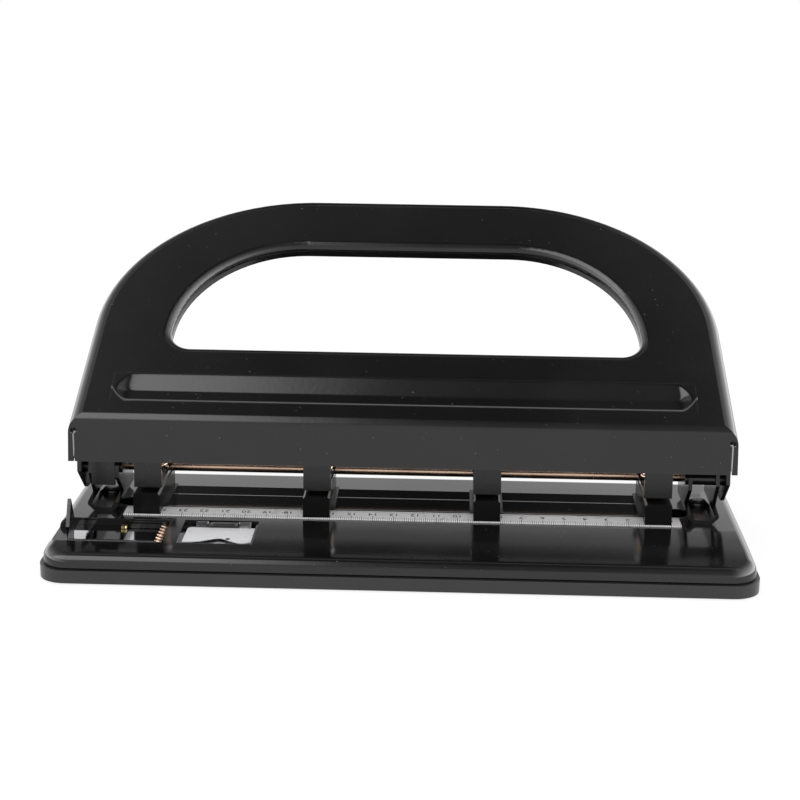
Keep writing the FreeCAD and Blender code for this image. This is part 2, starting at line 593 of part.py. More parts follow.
strip = box(("gauge_left", "ruler_y + gauge_front + gauge_play", "gauge_bottom"),
            ("gauge_right - gauge_left - 2*gauge_play", "gauge_rear - gauge_front - 2*gauge_play",
             "gauge_thick"))
slot_half = "(guide_pin_radius + slot_play)"
slot_start = "guide_pin_x - slot_end"
slot_run = "gauge_travel + 2*slot_end"
strip = cut(strip,
            box((slot_start, "ruler_y + guide_pin_y - " + slot_half, "gauge_bottom - bite"),
                (slot_run, "2*" + slot_half, "gauge_thick + 2*bite")),
            rod((slot_start, "ruler_y + guide_pin_y", "gauge_bottom - bite"), slot_half,
                "gauge_thick + 2*bite"),
            rod((slot_start + " + " + slot_run, "ruler_y + guide_pin_y", "gauge_bottom - bite"), slot_half,
                "gauge_thick + 2*bite"))
node("gauge_strip", strip)
leaf = [("-stop_foot", "0"), ("stop_foot", "0"), ("stop_half", "stop_widest"),
        ("stop_point", "stop_shoulder"), ("0", "stop_height"), ("-stop_point", "stop_shoulder"),
        ("-stop_half", "stop_widest")]
node("gauge_stop",
     plate("side", [("ruler_y + stop_middle + " + y, "gauge_top + " + z) for y, z in leaf],
           "stop_thick", ("gauge_left", "0", "0")))
node("gauge_guide_rivet",
     fuse(rod(("guide_pin_x", "ruler_y + guide_pin_y", "channel_top - channel_sheet"), "guide_pin_radius",
              "channel_sheet + gauge_play + gauge_thick + bite"),
          rod(("guide_pin_x", "ruler_y + guide_pin_y", "gauge_top + gauge_play"), "guide_pin_head",
              "guide_pin_proud")))
node("format_plate",
     box(("gauge_right - format_length - format_side", "ruler_y + gauge_front", "gauge_top + gauge_play"),
         ("format_length", "format_width", "format_thick")))
node("window_tabs",
     fuse(*[box(("gauge_right - " + left, "ruler_y + gauge_rear - tab_length",
                 "gauge_top + gauge_play + format_thick"),
                ("tab_width", "tab_length", "tab_sheet")) for left in ("tab_left", "tab_right")]))

wire = size("zigzag_wire")
zig_front = size("ruler_y") + size("gauge_front")
zig_rear = size("ruler_y") + size("gauge_rear")
zig_middle = size("bridge_left") - size("zigzag_gap") - wire - size("zigzag_reach") / 2
zig_height = size("gauge_top") + size("zigzag_gap") + wire
bends = 2 * int(size("zigzag_turns"))
corners = [Vector(zig_middle + size("zigzag_reach") / 2 * (0 if i in (0, bends) else (-1) ** i),
                  zig_front + (zig_rear - zig_front) * i / bends, zig_height) for i in range(bends + 1)]
legs = []
for start, end in zip(corners, corners[1:]):
    along = end - start
    legs.append(Part.makeCylinder(wire, along.Length, start, along))
for corner in corners[1:-1]:
    legs.append(Part.makeSphere(wire, corner))
zigzag = legs[0].multiFuse(legs[1:])
far = size("far")
zigzag = zigzag.common(Part.makeBox(2 * far, zig_rear - zig_front, 2 * far,
                                    Vector(zig_middle - far, zig_front, zig_height - far)))
node("gauge_detent_spring", feature(zigzag, "zigzag"))

# ---- handle ----------------------------------------------------------------------------------
# Drawn flat: x across, y up the slope from the front bend, z out of the plate, then leaned back.

lean = math.radians(size("lean"))
sheet_thick = size("plate_sheet")
lean_back = Placement(Vector(0, size("bend_y"), size("bend_height")), Rotation(Vector(1, 0, 0), size("lean")))
upright_again = lean_back.inverse()


def dOutline(centre, rise, across, up, flare, low):
    """A closed D: flat top, elliptical shoulders, sides that spread by a small angle, flat bottom."""
    slope = math.tan(math.radians(flare))
    begin = math.atan2(slope * up, across)
    squeeze = FreeCAD.Matrix()
    squeeze.scale(1, up / across, 1)

    def shoulder(middle, start, end):
        """A stretch of ellipse: a circle squeezed along y and moved to its centre."""
        arc = Part.makeCircle(across, Vector(), Vector(0, 0, 1), math.degrees(start), math.degrees(end))
        arc = arc.transformGeometry(squeeze)
        arc.translate(Vector(middle, rise, 0))
        return arc.Edges[0]

    side = Vector(centre + across * math.cos(begin), rise + up * math.sin(begin), 0)
    foot = Vector(side.x + (side.y - low) * slope, low, 0)
    top = Vector(centre, rise + up, 0)
    over = [Vector(-p.x, p.y, 0) for p in (top, side, foot)]
    return Part.Wire([Part.makeLine(foot, side), shoulder(centre, begin, math.pi / 2),
                      Part.makeLine(top, over[0]), shoulder(-centre, math.pi / 2, math.pi - begin),
                      Part.makeLine(over[1], over[2]), Part.makeLine(over[2], foot)])


def prism(wire_shape, top, depth):
    face = Part.Face(wire_shape)
    face.translate(Vector(0, 0, top))
    return face.extrude(Vector(0, 0, -depth))


def leanedBox(at, extent):
    """An upright block as the flat drawing sees it."""
    block = Part.makeBox(*extent, at)
    block.Placement = upright_again.multiply(block.Placement)
    return block


def outerReach(up_slope):
    """How far out the handle's side stands at a height up the slope."""
    slope = math.tan(math.radians(size("flare")))
    up = size("plate_length") - size("shoulder_rise")
    begin = math.atan2(slope * up, size("shoulder_radius"))
    x = size("shoulder_centre") + size("shoulder_radius") * math.cos(begin)
    return x + (size("shoulder_rise") + up * math.sin(begin) - up_slope) * slope


def upSlope(y, z):
    return (y - size("bend_y")) * math.cos(lean) + (z - size("bend_height")) * math.sin(lean)


wide = size("wide")


def capBody(inset, front):
    """The handle's outer form, or the hollow inside it, open toward the base."""
    across = size("shoulder_radius") - inset
    up = size("plate_length") - size("shoulder_rise") - inset
    wire_shape = dOutline(size("shoulder_centre"), size("shoulder_rise"), across, up, size("flare"),
                          -size("cap_below"))
    solid = prism(wire_shape, -inset, size("cap_deep"))
    solid = solid.cut(leanedBox(Vector(-wide / 2, front - wide / 2, -wide / 2), (wide, wide / 2, wide)))
    rim = [edge for edge in solid.Edges
           if all(abs(v.Z + inset) < 0.01 for v in edge.Vertexes)]
    return solid.makeFillet(size("bend_radius") - inset, rim)


cap_outer = capBody(0.0, size("bend_y"))
cap_inner = capBody(sheet_thick, size("bend_y") + sheet_thick)


def rimPoint(up_slope, depth):
    return Vector(0, size("bend_y") + up_slope * math.cos(lean) + depth * math.sin(lean),
                  size("bend_height") + up_slope * math.sin(lean) - depth * math.cos(lean))


pivot = (size("pivot_y"), size("pivot_height"))
neck = size("skirt_bottom")


def earPoint(behind, height):
    """A corner of the ear's outline, by its distance behind the pivot."""
    return Vector(0, pivot[0] + behind, height)


silhouette = [Vector(0, size("bend_y") - sheet_thick, neck), earPoint(-size("lug_ahead"), neck),
              earPoint(-size("lug_ahead"), pivot[1] + size("lug_bend")),
              earPoint(size("lug_tip_front"), size("lug_tip")),
              earPoint(size("lug_tip_back"), size("lug_tip")),
              earPoint(size("lug_behind"), pivot[1] - size("lug_bend")),
              earPoint(size("ear_neck"), neck + size("ear_neck_rise")),
              rimPoint(size("ear_run"), size("rim_depth")),
              rimPoint(size("plate_length") + size("rim_depth"), size("rim_depth")),
              rimPoint(size("plate_length") + size("rim_depth"), -size("rim_depth")),
              rimPoint(-2 * size("skirt_ahead"), -size("rim_depth"))]
kept = Part.Face(Part.makePolygon(silhouette + silhouette[:1])).extrude(Vector(wide, 0, 0))
kept.translate(Vector(-wide / 2, 0, 0))
kept.Placement = upright_again.multiply(kept.Placement)
shell_plate = cap_outer.cut(cap_inner).common(kept)


def gripPrism(grow, top, depth, corner):
    """The hand opening's form, grown outward by a margin."""
    wire_shape = dOutline(size("grip_centre"), size("grip_rise"), size("grip_radius") + grow,
                          size("grip_top") - size("grip_rise") + grow, 0.0, size("grip_bottom") - grow)
    solid = prism(wire_shape, top, depth)
    low = [edge for edge in solid.Edges
           if edge.BoundBox.XLength < 0.01 and edge.BoundBox.YMax < size("grip_bottom") - grow + 0.01]
    return solid.makeFillet(corner + grow, low)


lip = gripPrism(sheet_thick, -sheet_thick / 2, size("lip_depth") - sheet_thick / 2, size("grip_corner"))
shell_plate = shell_plate.fuse(lip)
shell_plate = shell_plate.cut(gripPrism(0.0, size("bite"), size("far"), size("grip_corner")))
mouth = [edge for edge in shell_plate.Edges
         if all(abs(v.Z) < 0.01 for v in edge.Vertexes)
         and edge.BoundBox.YMin > size("grip_bottom") - 0.5 and edge.BoundBox.YMax < size("grip_top") + 0.5
         and abs(edge.CenterOfMass.z) < 0.01]
shell_plate = shell_plate.makeFillet(size("grip_edge"), mouth)


def hexagon(half, tip, low, high, middle, level):
    """A long six-sided outline with a point at each end."""
    points = [(-half, low), (half, low), (half + tip, middle), (half, high), (-half, high),
              (-half - tip, middle)]
    corners_3d = [Vector(x, y, level) for x, y in points]
    return Part.makePolygon(corners_3d + corners_3d[:1])


def grooveForm(margin, top, bottom):
    """The long pressed groove across the handle's lower band."""
    end, taper, ledge = size("groove_end"), size("groove_taper"), size("groove_ledge")
    half = size("groove_half") - end
    low, high, deep = size("groove_bottom") - margin, size("groove_top") + margin, size("groove_depth")
    spread = top * ledge / deep
    middle = (low + high) / 2
    first = hexagon(half + margin, end, low - spread, high + spread, middle, top)
    second = hexagon(half - taper + margin, end - ledge, low + ledge, high - ledge, middle, bottom - deep)
    return Part.makeLoft([first, second], True, True)


half_sheet = sheet_thick / 2
shell_plate = shell_plate.fuse(grooveForm(half_sheet, -half_sheet, -0.8 * sheet_thick))
shell_plate = shell_plate.cut(grooveForm(0.0, 0.1 * sheet_thick, 0.0))
shell_plate.Placement = lean_back.multiply(shell_plate.Placement)

slit_start = size("skirt_half")
bore_start = size("bracket_inner")
bore_length = outerReach(-neck) + sheet_thick - bore_start
for side in (-1, 1):
    slit = Part.makeBox(size("slit_width"), 2 * sheet_thick, size("slit_top") - neck + sheet_thick,
                        Vector(slit_start if side > 0 else -slit_start - size("slit_width"),
                               size("bend_y") - half_sheet, neck - sheet_thick))
    hole = Part.makeCylinder(size("relief_hole"), 2 * sheet_thick,
                             Vector(side * (slit_start + size("slit_width") / 2), size("bend_y") - half_sheet,
                                    size("slit_top")), Vector(0, 1, 0))
    pivot_hole = Part.makeCylinder(size("pivot_radius"), bore_length, Vector(side * bore_start, *pivot),
                                   Vector(side, 0, 0))
    tenon_hole = Part.makeCylinder(size("tenon_radius"), bore_length,
                                   Vector(side * bore_start, size("bar_y"), size("bar_height")),
                                   Vector(side, 0, 0))
    shell_plate = shell_plate.cut(slit.fuse(hole)).cut(pivot_hole).cut(tenon_hole)
shell_plate = shell_plate.removeSplitter()
node("handle_shell", feature(shell_plate.Solids[0], "handle"))

bar_spot = upSlope(size("bar_y"), size("bar_height"))
bar_end = outerReach(bar_spot + size("bar_radius")) - sheet_thick - size("bar_play")
tenon_end = outerReach(bar_spot) + size("tenon_proud")
bar_start = Vector(-bar_end, size("bar_y"), size("bar_height"))
bar = Part.makeCylinder(size("bar_radius"), 2 * bar_end, bar_start, Vector(1, 0, 0))
tenon = Part.makeCylinder(size("tenon_radius"), 2 * tenon_end,
                          Vector(-tenon_end, size("bar_y"), size("bar_height")), Vector(1, 0, 0))
node("press_bar", feature(bar.fuse(tenon).removeSplitter(), "bar"))

pivot_spot = upSlope(*pivot)
head_start = outerReach(pivot_spot - size("pivot_head"))
shank_start = size("bracket_inner") - size("pivot_inset")
pins = []
for side in (-1, 1):
    way = Vector(side, 0, 0)
    shank = Part.makeCylinder(size("pivot_radius"), head_start - shank_start + size("pivot_inset") / 6,
                              Vector(side * shank_start, *pivot), way)
    head = Part.makeCylinder(size("pivot_head"), size("pivot_head_thick"),
                             Vector(side * head_start, *pivot), way)
    rim_edges = [edge for edge in head.Edges
                 if abs(abs(edge.CenterOfMass.x) - head_start - size("pivot_head_thick")) < 0.01
                 and edge.BoundBox.XLength < 0.01]
    pins.append(shank.fuse(head.makeFillet(size("pivot_head_thick") * 0.4, rim_edges)).removeSplitter())
node("pivot_pins", feature(Part.makeCompound(pins), "pins"))

# ---- writing ---------------------------------------------------------------------------------

doc.recompute()
os.makedirs("parts", exist_ok=True)
for item in doc.Objects:
    wrong = [word for word in item.State if word in ("Invalid", "Error")]
    if wrong:
        raise RuntimeError("%s (%s) is %s" % (item.Label, item.Name, wrong))
for item in nodes:
    if item.Shape.isNull() or not item.Shape.isValid() or not item.Shape.Solids:
        raise RuntimeError("%s has no sound shape" % item.Label)
    item.Shape.exportStep(os.path.join("parts", item.Label + ".step"))
    spread = item.Shape.BoundBox
    print("%-22s solids %d  x %.1f..%.1f  y %.1f..%.1f  z %.1f..%.1f" % (
        item.Label, len(item.Shape.Solids), spread.XMin, spread.XMax, spread.YMin, spread.YMax,
        spread.ZMin, spread.ZMax))
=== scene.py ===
import json
import math

import bpy
import numpy as np
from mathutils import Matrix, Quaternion, Vector


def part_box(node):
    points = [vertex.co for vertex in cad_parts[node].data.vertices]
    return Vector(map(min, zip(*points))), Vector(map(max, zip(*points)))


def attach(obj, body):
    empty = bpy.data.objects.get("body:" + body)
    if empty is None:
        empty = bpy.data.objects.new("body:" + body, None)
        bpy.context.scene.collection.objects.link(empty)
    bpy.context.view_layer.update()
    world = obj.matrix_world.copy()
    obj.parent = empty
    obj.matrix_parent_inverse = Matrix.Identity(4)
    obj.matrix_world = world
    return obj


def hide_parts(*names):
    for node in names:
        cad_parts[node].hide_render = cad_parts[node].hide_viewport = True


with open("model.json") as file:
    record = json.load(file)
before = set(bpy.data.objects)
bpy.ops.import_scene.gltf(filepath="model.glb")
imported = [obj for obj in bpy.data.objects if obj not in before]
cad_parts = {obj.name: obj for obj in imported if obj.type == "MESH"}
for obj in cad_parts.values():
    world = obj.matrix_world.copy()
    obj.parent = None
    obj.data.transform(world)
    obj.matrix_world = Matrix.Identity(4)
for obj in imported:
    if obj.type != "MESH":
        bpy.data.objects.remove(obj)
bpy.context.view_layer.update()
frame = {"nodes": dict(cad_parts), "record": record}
cadNodes = frame["nodes"]
print("frame loaded with", len(cadNodes), "CAD nodes")

mm = 0.001
gentle = (0.3, 0.7)   # the band of a noise's value that a slow change of gloss runs over

view = {
    "place": (0.02346, -0.83095, 0.28855),
    "tiltDown": 14.986,
    "turn": 1.845,
    "roll": 0.01212,
    "lens": 81.0,
    "frameWidth": 36.0,
    "shift": (0.0029, 0.0),
    "clip": (0.01, 50.0),
}


def makeCamera():
    data = bpy.data.cameras.new("camera")
    data.lens = view["lens"]
    data.sensor_width = view["frameWidth"]
    data.shift_x, data.shift_y = view["shift"]
    data.clip_start, data.clip_end = view["clip"]
    camera = bpy.data.objects.new("camera", data)
    bpy.context.scene.collection.objects.link(camera)
    camera.rotation_mode = "QUATERNION"
    camera.location = view["place"]
    tilt = math.radians(90 - view["tiltDown"])
    turn = Quaternion((0, 0, 1), math.radians(view["turn"]))
    roll = Quaternion((0, 0, 1), view["roll"])
    camera.rotation_quaternion = turn @ Quaternion((1, 0, 0), tilt) @ roll
    bpy.context.scene.camera = camera


makeCamera()
bpy.context.scene.view_settings.view_transform = "Standard"
print("camera set")


def startFinish(name):
    material = bpy.data.materials.new(name)
    material.use_nodes = True
    tree = material.node_tree
    coords = tree.nodes.new("ShaderNodeTexCoord")
    return material, tree, tree.nodes["Principled BSDF"], coords.outputs["Object"]


def join(tree, source, target):
    tree.links.new(source, target)


def stretched(tree, vector, scale):
    # object coordinates multiplied by a scale for each axis
    mapping = tree.nodes.new("ShaderNodeMapping")
    mapping.inputs["Scale"].default_value = scale
    join(tree, vector, mapping.inputs["Vector"])
    return mapping.outputs["Vector"]


def noise(tree, vector, scale, detail=3.0, roughness=0.5):
    node = tree.nodes.new("ShaderNodeTexNoise")
    node.inputs["Scale"].default_value = scale
    node.inputs["Detail"].default_value = detail
    node.inputs["Roughness"].default_value = roughness
    join(tree, vector, node.inputs["Vector"])
    return node.outputs["Fac"]


def between(tree, value, low, high, outLow, outHigh, kind="LINEAR"):
    # remap of a number, straight or eased, held at both ends
    node = tree.nodes.new("ShaderNodeMapRange")
    node.interpolation_type = kind
    for socket, number in zip(("From Min", "From Max", "To Min", "To Max"), (low, high, outLow, outHigh)):
        node.inputs[socket].default_value = number
    join(tree, value, node.inputs["Value"])
    return node.outputs["Result"]


def calculate(tree, operation, first, second=None, third=None):
    node = tree.nodes.new("ShaderNodeMath")
    node.operation = operation
    for index, value in enumerate((first, second, third)):
        if value is None:
            continue
        if isinstance(value, (int, float)):
            node.inputs[index].default_value = value
        else:
            join(tree, value, node.inputs[index])
    return node.outputs["Value"]


def tint(tree, factor, dark, light):
    node = tree.nodes.new("ShaderNodeMix")
    node.data_type = "RGBA"
    for socket, value in ((node.inputs[6], dark), (node.inputs[7], light)):
        if isinstance(value, tuple):
            socket.default_value = (*value, 1.0)
        else:
            join(tree, value, socket)
    join(tree, factor, node.inputs[0])
    return node.outputs[2]


def relief(tree, height, strength, distance):
    node = tree.nodes.new("ShaderNodeBump")
    node.inputs["Strength"].default_value = strength
    node.inputs["Distance"].default_value = distance
    join(tree, height, node.inputs["Height"])
    return node.outputs["Normal"]


enamelLook = {
    "colour": (0.0040, 0.0038, 0.0040),
    "worn": (0.0058, 0.0055, 0.0057),
    "dust": (0.12, 0.115, 0.11),
    "rough": (0.11, 0.155),
    "slowScale": 22.0,
    "speckScale": 900.0,
    "speckAt": (0.79, 0.81),
    "speckRough": 0.5,
    "peelScale": 420.0,
    "peel": 0.02,
    "peelDepth": 0.0006,
    # colour of a painted highlight: the bright line painted along the handle groove's lower bead
    "edge": (0.085, 0.083, 0.082),
    "sheen": 0.5,
}


def glossEnamel(name, look, paintedLine=False):
    # sprayed black gloss: faint orange peel, slow changes of gloss, sparse specks of dust,
    # and, where the mesh carries a mask, a bright painted highlight line
    material, tree, shader, coords = startFinish(name)
    slow = noise(tree, coords, look["slowScale"], 3.0)
    speck = noise(tree, coords, look["speckScale"], 1.0)
    dusty = between(tree, speck, *look["speckAt"], 0.0, 1.0)
    paint = tint(tree, between(tree, slow, 0.35, 0.7, 0.0, 1.0), look["colour"], look["worn"])
    # where asked, the edge colour paints a highlight line wherever the mesh's mask is high
    if paintedLine:
        highlightMask = tree.nodes.new("ShaderNodeAttribute")
        highlightMask.attribute_name = "highlightMask"
        paint = tint(tree, highlightMask.outputs["Fac"], paint, look["edge"])
    join(tree, tint(tree, dusty, paint, look["dust"]), shader.inputs["Base Color"])
    gloss = between(tree, slow, *gentle, *look["rough"])
    dull = calculate(tree, "MULTIPLY", dusty, look["speckRough"])
    join(tree, calculate(tree, "ADD", gloss, dull), shader.inputs["Roughness"])
    peel = noise(tree, coords, look["peelScale"], 2.0)
    join(tree, relief(tree, peel, look["peel"], look["peelDepth"]), shader.inputs["Normal"])
    shader.inputs["Specular IOR Level"].default_value = look["sheen"]
    return material


satinLook = {
    "colour": (0.0105, 0.0102, 0.0106),
    "worn": (0.0185, 0.018, 0.0184),
    "rough": (0.26, 0.38),
    "slowScale": 35.0,
    "grainScale": 1500.0,
    "grain": 0.10,
    "grainDepth": 0.0003,
}


def mouldedPlastic(name, look):
    # black moulded plastic or rubber: fine spark grain and a soft sheen
    material, tree, shader, coords = startFinish(name)
    slow = noise(tree, coords, look["slowScale"], 4.0)
    join(tree, tint(tree, slow, look["colour"], look["worn"]), shader.inputs["Base Color"])
    join(tree, between(tree, slow, *gentle, *look["rough"]), shader.inputs["Roughness"])
    grain = noise(tree, coords, look["grainScale"], 2.0, 0.6)
    join(tree, relief(tree, grain, look["grain"], look["grainDepth"]), shader.inputs["Normal"])
    return material


drawnLook = {"slowScale": 60.0, "blendAt": (0.7, 1.3), "scratchDepth": 0.0002}
metalLooks = {
    "zincSteel": {"light": (0.62, 0.62, 0.63), "dark": (0.42, 0.42, 0.44), "rough": (0.22, 0.36),
                  "along": (60.0, 900.0, 900.0), "scratch": 0.06},
    "copperPlate": {"light": (0.80, 0.58, 0.44), "dark": (0.52, 0.36, 0.27), "rough": (0.2, 0.34),
                    "along": (40.0, 700.0, 700.0), "scratch": 0.04},
    "rivetBrass": {"light": (0.72, 0.56, 0.30), "dark": (0.46, 0.33, 0.16), "rough": (0.18, 0.3),
                   "along": (300.0, 300.0, 300.0), "scratch": 0.05},
    "brightChrome": {"light": (0.80, 0.80, 0.82), "dark": (0.66, 0.66, 0.69), "rough": (0.07, 0.16),
                     "along": (30.0, 500.0, 500.0), "scratch": 0.02},
}


def drawnMetal(name, look):
    # bare or plated metal with fine lines along its drawing direction
    material, tree, shader, coords = startFinish(name)
    lines = noise(tree, stretched(tree, coords, look["along"]), 1.0, 3.0, 0.6)
    slow = noise(tree, coords, drawnLook["slowScale"], 2.0)
    blend = between(tree, calculate(tree, "ADD", lines, slow), *drawnLook["blendAt"], 0.0, 1.0)
    join(tree, tint(tree, blend, look["dark"], look["light"]), shader.inputs["Base Color"])
    join(tree, between(tree, slow, *gentle, *look["rough"]), shader.inputs["Roughness"])
    join(tree, relief(tree, lines, look["scratch"], drawnLook["scratchDepth"]), shader.inputs["Normal"])
    shader.inputs["Metallic"].default_value = 1.0
    return material


rulerLook = {
    "paint": (0.90, 0.90, 0.91),
    "shade": (0.84, 0.84, 0.85),
    "ink": (0.04, 0.04, 0.045),
    "zeroAt": 126.4,
    "frontEdge": -30.258,
    "ticks": ((1.0, 0.22, 1.8), (5.0, 0.28, 2.6), (10.0, 0.34, 3.4)),
    "railAt": 9.6,
    "railHalf": 0.14,
    "farAway": 500.0,   # keeps the count positive along the whole strip
    "metal": 0.1,
    "rough": (0.25, 0.36),
    "slowScale": 90.0,
}


def rulerFinish(name, look):
    # pale painted strip with ticks each 1, 5 and 10 mm, counted leftwards, and one thin line near the back
    material, tree, shader, coords = startFinish(name)
    split = tree.nodes.new("ShaderNodeSeparateXYZ")
    join(tree, coords, split.inputs["Vector"])
    along = calculate(tree, "MULTIPLY_ADD", split.outputs["X"], -1 / mm, look["zeroAt"] + look["farAway"])
    deep = calculate(tree, "MULTIPLY_ADD", split.outputs["Y"], 1 / mm, -look["frontEdge"])
    inked = None
    for step, width, reach in look["ticks"]:
        nearest = calculate(tree, "PINGPONG", along, step / 2)
        onTick = calculate(tree, "LESS_THAN", nearest, width / 2)
        tick = calculate(tree, "MULTIPLY", onTick, calculate(tree, "LESS_THAN", deep, reach))
        inked = tick if inked is None else calculate(tree, "MAXIMUM", inked, tick)
    rail = calculate(tree, "COMPARE", deep, look["railAt"], look["railHalf"])
    inked = calculate(tree, "MAXIMUM", inked, rail)
    slow = noise(tree, coords, look["slowScale"], 4.0)
    paint = tint(tree, between(tree, slow, 0.35, 0.65, 0.0, 1.0), look["shade"], look["paint"])
    join(tree, tint(tree, inked, paint, look["ink"]), shader.inputs["Base Color"])
    join(tree, between(tree, slow, *gentle, *look["rough"]), shader.inputs["Roughness"])
    shader.inputs["Metallic"].default_value = look["metal"]
    return material


plateLook = {
    "paint": (0.70, 0.70, 0.72),
    "shade": (0.60, 0.60, 0.62),
    "rough": (0.25, 0.38),
    "slowScale": 110.0,
}


def palePaint(name, look):
    # plain pale satin paint with a slow change of tone
    material, tree, shader, coords = startFinish(name)
    slow = noise(tree, coords, look["slowScale"], 3.0)
    join(tree, tint(tree, slow, look["shade"], look["paint"]), shader.inputs["Base Color"])
    join(tree, between(tree, slow, *gentle, *look["rough"]), shader.inputs["Roughness"])
    return material


mirrorLook = {
    "light": (0.80, 0.80, 0.82),
    # dark colour of the painted reflection on the mirror strip, also the dark of its brush lines
    "darkReflectionAndLines": (0.02, 0.02, 0.022),
    # where along x the painted dark reflection starts and ends
    "paintedReflectionFrom": -144.0,
    "paintedReflectionTo": -126.4,
    "paintedReflectionFade": 0.2,
    "brushedFrom": -122.1,
    "brushedFade": 0.3,
    "brushScale": (1600.0, 20.0, 20.0),
    "brushTone": (0.25, 0.75),
    "rough": (0.05, 0.12),
    "slowScale": 60.0,
}


def gaugeMirror(name, look):
    # polished strip: a painted dark reflection over a middle stretch, fine upright brush lines at its inner
    # end
    material, tree, shader, coords = startFinish(name)
    split = tree.nodes.new("ShaderNodeSeparateXYZ")
    join(tree, coords, split.inputs["Vector"])
    along = calculate(tree, "MULTIPLY", split.outputs["X"], 1 / mm)
    # painted reflection: a dark stretch of the strip stands in for the dark parts mirrored in it
    reflectionStart = between(tree, along, look["paintedReflectionFrom"], look["paintedReflectionFrom"] + look["paintedReflectionFade"], 0.0, 1.0)
    reflectionEnd = between(tree, along, look["paintedReflectionTo"], look["paintedReflectionTo"] + look["paintedReflectionFade"], 1.0, 0.0)
    paintedReflection = calculate(tree, "MULTIPLY", reflectionStart, reflectionEnd)
    brushed = between(tree, along, look["brushedFrom"], look["brushedFrom"] + look["brushedFade"], 0.0, 1.0)
    lines = noise(tree, stretched(tree, coords, look["brushScale"]), 1.0, 2.0)
    tone = between(tree, lines, 0.35, 0.65, *look["brushTone"])
    worn = tint(tree, calculate(tree, "MULTIPLY", brushed, tone), look["light"], look["darkReflectionAndLines"])
    join(tree, tint(tree, paintedReflection, worn, look["darkReflectionAndLines"]), shader.inputs["Base Color"])
    slow = noise(tree, coords, look["slowScale"], 2.0)
    join(tree, between(tree, slow, *gentle, *look["rough"]), shader.inputs["Roughness"])
    shader.inputs["Metallic"].default_value = 1.0
    return material


rubberLook = dict(satinLook, colour=(0.012, 0.012, 0.012), worn=(0.03, 0.03, 0.03), rough=(0.7, 0.85),
                  grainScale=900.0, grain=0.25)

baseEnamel = dict(enamelLook, rough=(0.09, 0.13), peel=0.012)
steelBlack = dict(enamelLook, colour=(0.0055, 0.0053, 0.0055), rough=(0.18, 0.27), peel=0.05)
finishes = {
    "black_plastic": mouldedPlastic("blackPlastic", satinLook),
    "foot_rubber": mouldedPlastic("footRubber", rubberLook),
    "black_enamel": glossEnamel("blackEnamel", enamelLook),
    "black_steel": glossEnamel("blackSteel", steelBlack),
    "zinc_steel": drawnMetal("zincSteel", metalLooks["zincSteel"]),
    "copper_plate": drawnMetal("copperPlate", metalLooks["copperPlate"]),
    "rivet_brass": drawnMetal("rivetBrass", metalLooks["rivetBrass"]),
    "bright_chrome": drawnMetal("brightChrome", metalLooks["brightChrome"]),
    "ruler_paint": rulerFinish("rulerPaint", rulerLook),
    "pale_paint": palePaint("palePaint", plateLook),
}
# enamel with a painted highlight line, used on the groove skin
highlightedEnamel = glossEnamel("highlightedEnamel", enamelLook, True)
smoothEnamel = glossEnamel("smoothEnamel", baseEnamel)
dullSteel = glossEnamel("dullSteel", dict(steelBlack, sheen=0.1))


def dress(piece, finish):
    piece.data.materials.clear()
    piece.data.materials.append(finish)


for part in frame["record"]["subparts"]:
    dress(cadNodes[part["node"]], finishes[part["material_slot"]])
dress(cadNodes["base_shell"], smoothEnamel)
for number in range(1, 5):
    dress(cadNodes["die_block_%d" % number], dullSteel)
dress(cadNodes["gauge_strip"], gaugeMirror("gaugeMirror", mirrorLook))
print("CAD nodes dressed")

figureLook = {
    "last": 25,
    "every": 10.0,
    "zeroAt": 126.4,
    "height": 3.3,
    "middle": 6.6,
    "proud": 0.03,
    "over": 0.01,
    "heightShare": 0.7,   # a figure's height as a share of its text size
}


def newPiece(name, points, faces, body, finish, smooth=True, highlightMask=None):
    # a closed mesh in millimetres becomes a finished piece on one body;
    # its faces are turned outwards by the sign of the volume they enclose
    points, faces = np.asarray(points, float), np.asarray(faces)
    first, second, third = (points[faces[:, k]] for k in range(3))
    volume = np.einsum("ij,ij->i", first, np.cross(second, third)).sum()
    if faces.shape[1] == 4:
        volume += np.einsum("ij,ij->i", first, np.cross(third, points[faces[:, 3]])).sum()
    if volume < 0:
        faces = faces[:, ::-1]
    mesh = bpy.data.meshes.new(name)
    mesh.from_pydata((points * mm).tolist(), [], faces.tolist())
    mesh.polygons.foreach_set("use_smooth", np.full(len(mesh.polygons), smooth))
    # a mask that paints a highlight line, kept on the points for the material
    if highlightMask is not None:
        mesh.attributes.new("highlightMask", "FLOAT", "POINT").data.foreach_set("value", np.asarray(highlightMask, float))
    mesh.update()
    piece = bpy.data.objects.new(name, mesh)
    bpy.context.scene.collection.objects.link(piece)
    dress(piece, finish)
    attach(piece, body)
    return piece


def gridFaces(rows, cols, start=0):
    # four-cornered faces between neighbouring rows and columns of a grid of points
    index = np.arange(rows * cols).reshape(rows, cols) + start
    return np.stack([index[:-1, :-1], index[1:, :-1], index[1:, 1:], index[:-1, 1:]], -1).reshape(-1, 4)


def closedSheet(top, bottom):
    # two grids of the same size become one closed form: both sides and a wall along the whole border
    rows, cols = top.shape[:2]
    count = rows * cols
    index = np.arange(count).reshape(rows, cols)
    border = np.concatenate([index[0, :-1], index[:-1, -1], index[-1, :0:-1], index[:0:-1, 0]])
    after = np.roll(border, -1)
    wall = np.stack([border, after, after + count, border + count], -1)
    points = np.concatenate([top.reshape(-1, 3), bottom.reshape(-1, 3)])
    faces = np.concatenate([gridFaces(rows, cols), gridFaces(rows, cols, count)[:, ::-1], wall])
    return points, faces


def softLow(first, second, blend):
    # the lower of two heights, eased over where they cross
    return 0.5 * (first + second - np.sqrt((first - second) ** 2 + blend ** 2))


def softHigh(first, second, blend):
    # the higher of two heights, eased in the same way
    return -softLow(-first, -second, blend)


